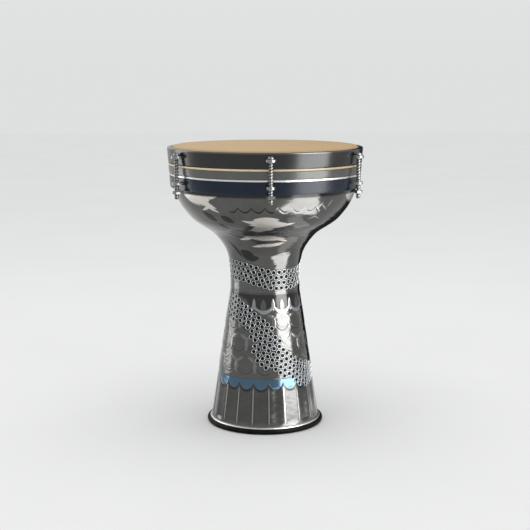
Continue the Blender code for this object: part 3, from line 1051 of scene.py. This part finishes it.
def thread(name, radius, low, high, material):
    """A right-hand thread about its own axis, fading out below the head and at the tip."""
    columns = THREAD_COLUMNS
    rows = int((high - low) / THREAD_ROW)
    depth = 0.5 * MM
    point = 0.7 * MM
    z = np.linspace(high, low, rows)[:, None]
    angles = (np.arange(columns) * math.tau / columns)[None, :]
    turn = (z / THREAD_LEAD - angles / math.tau) % 1
    crest = np.clip(0.62 + 0.95 * np.cos(math.tau * turn), 0.0, 1.0)
    whole = np.clip((high - z) / (1.5 * MM), 0.0, 1.0)
    taper = np.clip((z - low) / (1.2 * MM), 0.0, 1.0)
    r = radius - depth * (1 - crest * whole) - point * (1 - taper)
    grid = np.stack([r * np.cos(angles), r * np.sin(angles), z + 0 * angles], axis=-1)
    points = grid.reshape(-1, 3).tolist()
    faces = wrapped_quads(rows, columns, False)
    points.append((0.0, 0.0, high))
    points.append((0.0, 0.0, low))
    last = (rows - 1) * columns
    for i in range(columns):
        j = (i + 1) % columns
        faces.append((len(points) - 2, i, j))
        faces.append((len(points) - 1, last + j, last + i))
    obj = add_mesh(name, points, faces, material, sharp=70.0)
    finish_and_painted_light = np.zeros((len(points), 4))
    # painted shade in the thread's root, darkest between the crests
    finish_and_painted_light[: rows * columns, 0] = (1 - crest).ravel()
    add_finish_and_painted_light(obj, finish_and_painted_light)
    return obj


def flat_outline(name, loops, thickness, ease, material):
    """A plate with rounded edges, centred on z = 0. The first loop is its outline, the others are holes."""
    curve = bpy.data.curves.new(name, "CURVE")
    curve.dimensions = "2D"
    curve.fill_mode = "BOTH"
    curve.extrude = thickness / 2 - ease
    curve.bevel_depth = ease
    curve.bevel_resolution = 2
    curve.offset = -ease
    for points in loops:
        spline = curve.splines.new("POLY")
        spline.points.add(len(points) - 1)
        for point, (x, y) in zip(spline.points, points):
            point.co = (x, y, 0.0, 1.0)
        spline.use_cyclic_u = True
    return as_mesh(new_object(f"{name}_curve", curve), name, material)


def ear(name, node, angle, end_r, material):
    """A welded tab with a round end about the screw, as its CAD node is."""
    low, high = span(node)
    sunk = 0.2 * MM
    hole_r = 3.5 * MM
    ease = 0.7 * MM
    root = stack_radius(high) - SCREW_CIRCLE_R - sunk
    outline = [(root, -end_r), *arc((0.0, 0.0), end_r, -90.0, 90.0, 24), (root, end_r)]
    hole = arc((0.0, 0.0), hole_r, 0.0, 345.0, 23)
    obj = flat_outline(name, [outline, hole], high - low, ease, material)
    moved_to(obj, polar(SCREW_CIRCLE_R, angle, (low + high) / 2), angle)
    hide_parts(node)
    return obj


def stop_nut(name, node, turn, material):
    """The hexagonal nut jammed on a screw's lower end."""
    low, high = span(node)
    bore_r = 3.15 * MM
    ease = 0.45 * MM
    corner_r = half_size("stop_nut_1", 1)
    hexagon = arc((0.0, 0.0), corner_r, 0.0, 300.0, 5)
    bore = arc((0.0, 0.0), bore_r, 0.0, 345.0, 23)
    obj = flat_outline(name, [hexagon, bore], high - low, ease, material)
    moved_to(obj, middle(node), turn)
    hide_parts(node)
    return obj


SCREW_CIRCLE_R = -middle("tension_screw_1")[1]
SLOT_TURNS = (80.0, 52.0, 100.0, -28.0, 140.0, 72.0)  # degrees, screw by screw


def make_tension_set(i, metal, steel):
    """One screw with its nut and its two ears. The first is at the front."""
    angle = -math.pi / 2 + math.tau * (i - 1) / SCREW_COUNT
    node = f"tension_screw_{i}"
    x, y, _ = middle(node)
    low, high = span(node)
    seat = span(f"hoop_ear_{i}")[1] + GAP
    head_r = half_size("tension_screw_1", 0)
    head = screw_head(f"screw_head_{i}", head_r, high - seat, metal, SLOT_TURNS[i - 1] * DEGREE)
    moved_to(head, (x, y, seat))
    rod = moved_to(thread(f"screw_rod_{i}", SCREW_R, low, seat, steel), (x, y, 0.0))
    for piece in (head, rod):
        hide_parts(node)
        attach(piece, f"screw_{i}")
    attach(stop_nut(f"lock_nut_{i}", f"stop_nut_{i}", angle + 0.35 * i, metal), f"screw_{i}")
    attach(ear(f"upper_tab_{i}", f"hoop_ear_{i}", angle, HOOP_EAR_R, metal), "hoop")
    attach(ear(f"lower_tab_{i}", f"lower_ear_{i}", angle, LOWER_EAR_R, metal), "shell")


# ---------------- stage


def show_only_in_reflections(obj):
    obj.visible_camera = False
    obj.visible_diffuse = False
    obj.visible_shadow = False


def panel(name, azimuth, distance, height, size, radiance, facing_up=False):
    """A soft light that only reflections see, upright and facing the drum, or lying face up.

    Its azimuth is counted from the camera to the viewer's right.
    """
    lamp = bpy.data.lights.new(name, "AREA")
    lamp.shape = "RECTANGLE"
    lamp.size, lamp.size_y = size
    lamp.energy = radiance * math.pi * size[0] * size[1]
    obj = new_object(name, lamp)
    angle = FACING + azimuth * DEGREE
    obj.location = polar(distance, angle, height)
    obj.rotation_euler = (math.pi if facing_up else math.pi / 2, 0.0, angle + math.pi / 2)
    show_only_in_reflections(obj)
    return obj


def overhead_light():
    """The broad soft light over the drum, for the floor and the head."""
    light = panel("overhead", azimuth=0.0, distance=0.2, height=2.2, size=(2.0, 2.0), radiance=0.9)
    light.rotation_euler = (0.0, 0.0, 0.0)
    light.visible_diffuse = True
    light.visible_glossy = False
    light.visible_shadow = True


def make_card():
    """A dark card to the right behind the drum, upright and along the floor, which only reflections see."""
    material, _, shader = new_material("dark_card")
    shader.inputs["Base Color"].default_value = (0.01, 0.01, 0.01, 1.0)
    shader.inputs["Roughness"].default_value = 1.0
    half_width, high = 0.32, 1.0
    near_half_width, long = 0.16, 0.48
    distance, above_floor = 0.9, 0.004
    corners = [
        (-half_width, 0, 0),
        (half_width, 0, 0),
        (half_width, 0, high),
        (-half_width, 0, high),
        (near_half_width, long, 0),
        (-near_half_width, long, 0),
    ]
    card = add_mesh("dark_card", corners, [(0, 1, 2, 3), (1, 0, 5, 4)], material)
    angle = FACING + 155 * DEGREE
    moved_to(card, polar(distance, angle, above_floor), angle + math.pi / 2)
    show_only_in_reflections(card)


def make_floor():
    """A plain pale floor that runs out of sight."""
    material, tree, shader = new_material("floor_paper", specular=0.0)
    colour = blend_colours(tree, mottling(tree, 3.0), (0.80, 0.80, 0.79), (0.82, 0.82, 0.81))
    tree.links.new(colour, shader.inputs["Base Color"])
    shader.inputs["Roughness"].default_value = 1.0
    half = 8.0
    corners = [(-half, -half, 0), (half, -half, 0), (half, half, 0), (-half, half, 0)]
    floor = add_mesh("floor", corners, [(0, 1, 2, 3)], material)


def make_world():
    """A pale studio, a little brighter overhead."""
    world = bpy.data.worlds.new("studio")
    world.use_nodes = True
    sky = world.node_tree
    rise = spread(sky, upwards(sky, "Generated"), 0.0, 1.0, 0.0, 0.5)
    shade = blend_colours(sky, rise, (0.735, 0.745, 0.745), (0.90, 0.91, 0.92))
    sky.links.new(shade, sky.nodes["Background"].inputs["Color"])
    bpy.context.scene.world = world


def make_stage():
    make_floor()
    make_world()
    bpy.context.scene.view_settings.view_transform = "Standard"
    on_floor = 0.003
    panel("key_right", 54.0, 0.80, height=0.605, size=(0.54, 1.20), radiance=8.0)
    panel("key_foot", 54.0, 0.52, height=on_floor, size=(0.36, 0.54), radiance=5.2, facing_up=True)
    panel("key_bowl", 90.0, 0.17, height=on_floor, size=(0.26, 0.09), radiance=0.9, facing_up=True)
    panel("rim_left", -108.0, 0.95, height=0.555, size=(0.44, 1.10), radiance=2.6)
    overhead_light()
    make_card()


def make_camera():
    data = bpy.data.cameras.new("camera")
    data.lens = CAMERA_LENS
    data.sensor_width = 36.0
    camera = new_object("camera", data)
    camera.location = polar(CAMERA_DISTANCE, FACING, CAMERA_HEIGHT)
    camera.rotation_euler = (math.pi / 2 - CAMERA_PITCH, 0.0, FACING + math.pi / 2)
    bpy.context.scene.camera = camera


def neck_radius(z):
    """Outer radius of the bowl or its neck at a height."""
    return float(np.interp(z, *BOWL_RADIUS))


def main():
    make_camera()
    make_stage()
    nickel = engraved_metal()
    rim_metal = bright_metal("punch_rim", (0.62, 0.64, 0.65), roughness=0.34, grain=300.0)
    pit_shade = pit_painted_shade()
    neck_marks = loosened(punch_centres_on_neck(), 5)
    sash_marks = [loosened(punch_centres_on_sash(start), 6) for start in (0.0, math.pi)]
    make_bowl(nickel, neck_marks)
    make_stem(nickel, sash_marks[0] + sash_marks[1])
    for number, marks in enumerate(sash_marks, start=1):
        punch_marks(f"sash_{number}", marks, stem_radius, rim_metal, pit_shade)
    punch_marks("neck", neck_marks, neck_radius, rim_metal, pit_shade)
    make_foot(foot_rubber())
    navy = gloss_paint("lower_navy", (0.002, 0.008, 0.022), (0.004, 0.012, 0.028), shine=0.27)
    grey = gloss_paint("collar_grey", (0.076, 0.077, 0.070), (0.092, 0.093, 0.086), shine=0.50)
    silver = bright_metal("silver_line", (0.72, 0.73, 0.74), roughness=0.30, grain=200.0)
    band("lower_band", "lower_ring", navy)
    band("silver_line", "silver_trim_ring", silver)
    band("grey_collar", "collar", grey)
    band("cream_line", "cream_trim_ring", cream_enamel())
    make_head(head_film())
    make_hoop(hoop_paint())
    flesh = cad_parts["flesh_hoop"]
    alloy = bright_metal("flesh_alloy", (0.55, 0.55, 0.55), roughness=0.4, grain=150.0)
    flesh.material_slots[0].material = alloy
    bolts = bright_metal("bolt_steel", (0.28, 0.28, 0.27), roughness=0.28, grain=500.0)
    steel = thread_metal()
    for i in range(1, SCREW_COUNT + 1):
        make_tension_set(i, bolts, steel)


main()
